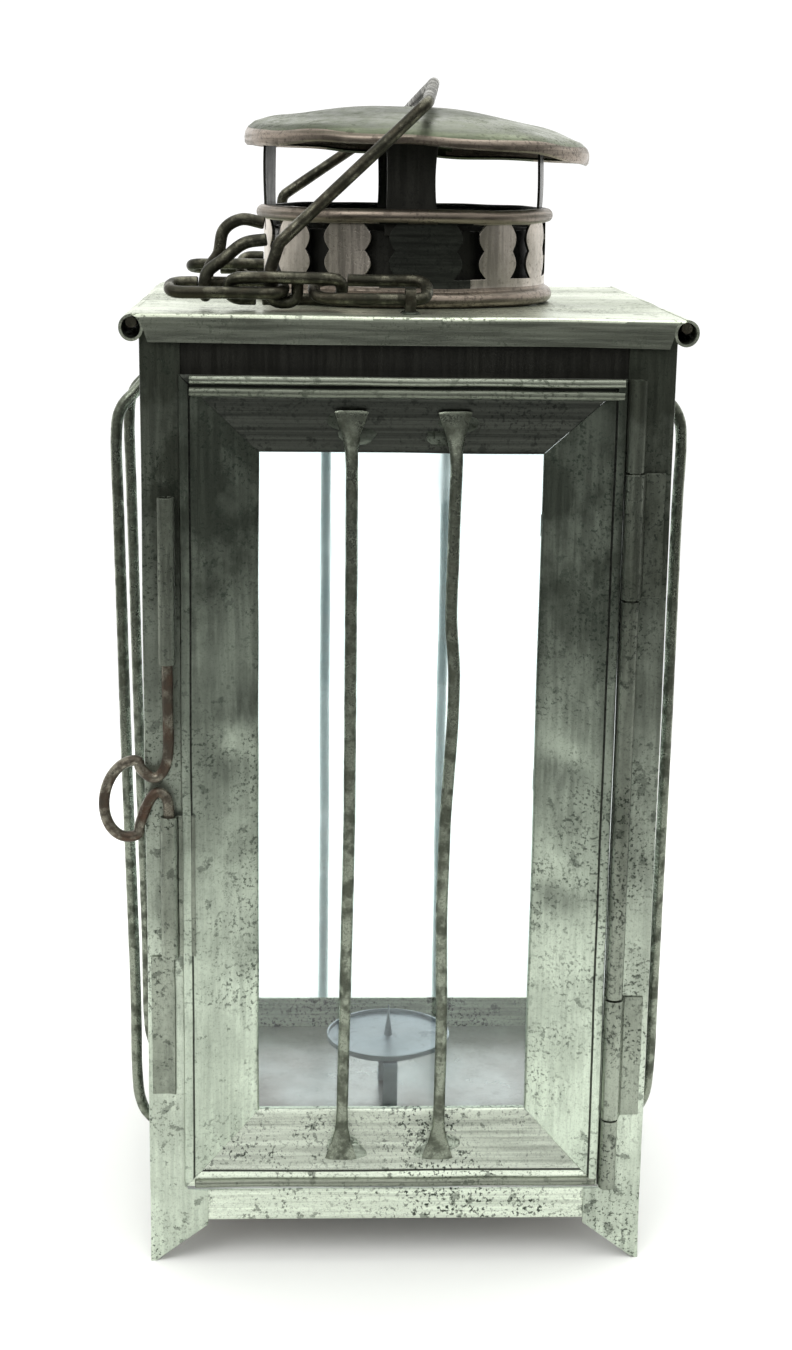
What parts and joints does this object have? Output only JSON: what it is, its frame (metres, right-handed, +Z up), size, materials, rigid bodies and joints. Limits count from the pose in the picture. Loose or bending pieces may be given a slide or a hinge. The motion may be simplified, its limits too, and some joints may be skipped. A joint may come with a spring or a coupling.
{
  "type": "candle lantern",
  "caption": "Square tinplate candle lantern with a hinged glazed door, wire guards, pierced round chimney, cap, and a chained wire bail.",
  "frame": {"origin": "on the ground at the centre of the square body", "axes": "+Z up, front with the door towards -Y, +X to the right seen from the front"},
  "size_m": [0.1408, 0.1315, 0.2834],
  "materials": {
    "tinplate": "aged tinplate, brushed, speckled dark green",
    "roof_tin": "tarnished tinplate, mottled olive",
    "chimney_tin": "smoke-darkened tinplate with coppery edges",
    "glass": "thin clear glass, pale cyan, dusty",
    "guard_wire": "tinned wire, dull olive",
    "chain_wire": "oxidised iron wire, dark olive",
    "rusty_wire": "rusty iron wire worn bright at the loop"
  },
  "bodies": {
    "case": {"candle_plate": "tinplate", "candle_strap": "tinplate", "cap": "chimney_tin", "collar": "chimney_tin", "floor_pan": "tinplate", "front_eye": "chimney_tin", "head_band": "roof_tin", "hinge_leaf_lower": "tinplate", "hinge_leaf_upper": "tinplate", "hinge_pin": "guard_wire", "latch_keeper": "tinplate", "latch_strap": "tinplate", "left_guard_front": "guard_wire", "left_guard_rear": "guard_wire", "left_pane": "glass", "left_sill": "tinplate", "pane_tabs": "tinplate", "post_front_left": "tinplate", "post_front_right": "tinplate", "post_rear_left": "tinplate", "post_rear_right": "tinplate", "rear_eye": "chimney_tin", "rear_guard_left": "guard_wire", "rear_guard_right": "guard_wire", "rear_pane": "glass", "rear_sill": "tinplate", "right_guard_front": "guard_wire", "right_guard_rear": "guard_wire", "right_pane": "glass", "right_sill": "tinplate", "roof": "roof_tin", "roof_rod_left": "guard_wire", "roof_rod_right": "guard_wire", "strut_front": "chimney_tin", "strut_left": "chimney_tin", "strut_rear": "chimney_tin", "strut_right": "chimney_tin"},
    "door": {"door_barrel_bottom": "tinplate", "door_barrel_middle": "tinplate", "door_barrel_top": "tinplate", "door_bottom_bead": "tinplate", "door_bottom_strip": "tinplate", "door_catch": "tinplate", "door_guard_left": "guard_wire", "door_guard_right": "guard_wire", "door_left_strip": "tinplate", "door_pane": "glass", "door_pane_tabs": "tinplate", "door_right_strip": "tinplate", "door_top_bead": "tinplate", "door_top_strip": "tinplate"},
    "latch": {"latch_pin": "rusty_wire"},
    "bail": {"bail": "chain_wire"},
    "hook": {"hanging_hook": "chain_wire"},
    "front_one": {"front_link_one": "chain_wire"},
    "front_two": {"front_link_two": "chain_wire"},
    "front_three": {"front_link_three": "chain_wire"},
    "rear_one": {"rear_link_one": "chain_wire"},
    "rear_two": {"rear_link_two": "chain_wire"},
    "rear_three": {"rear_link_three": "chain_wire"}
  },
  "joints": [
    {"name": "door_hinge", "type": "hinge", "parent": "case", "child": "door", "pos_m": [0.0513, -0.06217, 0.1185], "axis": [0, 0, 1], "range_deg": [0, 135]},
    {"name": "latch_lift", "type": "slide", "parent": "case", "child": "latch", "axis": [0, 0, 1], "range_m": [0, 0.021]},
    {"name": "front_link_one_lift", "type": "hinge", "parent": "case", "child": "front_one", "pos_m": [0.0035, -0.0475, 0.235], "axis": [0, 1, 0], "range_deg": [0, 7]},
    {"name": "front_link_two_lift", "type": "hinge", "parent": "front_one", "child": "front_two", "pos_m": [-0.01815, -0.0475, 0.235], "axis": [0, 1, 0], "range_deg": [0, 5]},
    {"name": "front_link_three_slack", "type": "slide", "parent": "front_two", "child": "front_three", "axis": [-1, 0, 0], "range_m": [0, 0.005]},
    {"name": "rear_link_one_lift", "type": "hinge", "parent": "case", "child": "rear_one", "pos_m": [0.0035, 0.0475, 0.235], "axis": [0, 1, 0], "range_deg": [0, 7]},
    {"name": "rear_link_two_lift", "type": "hinge", "parent": "rear_one", "child": "rear_two", "pos_m": [-0.01815, 0.0475, 0.235], "axis": [0, 1, 0], "range_deg": [0, 5]},
    {"name": "rear_link_three_slack", "type": "slide", "parent": "rear_two", "child": "rear_three", "axis": [-1, 0, 0], "range_m": [0, 0.005]},
    {"name": "bail_swing", "type": "hinge", "parent": "front_three", "child": "bail", "pos_m": [-0.02815, -0.0475, 0.235], "axis": [0, -1, 0], "range_deg": [0, 32]},
    {"name": "hook_swing", "type": "hinge", "parent": "front_three", "child": "hook", "pos_m": [-0.046, -0.04359, 0.23583], "axis": [-1, 0, 0], "range_deg": [0, 35]}
  ],
  "couplings": [
    {"joint": "rear_link_one_lift", "follows": "front_link_one_lift", "ratio": 1},
    {"joint": "rear_link_two_lift", "follows": "front_link_two_lift", "ratio": 1},
    {"joint": "rear_link_three_slack", "follows": "front_link_three_slack", "ratio": 1}
  ]
}
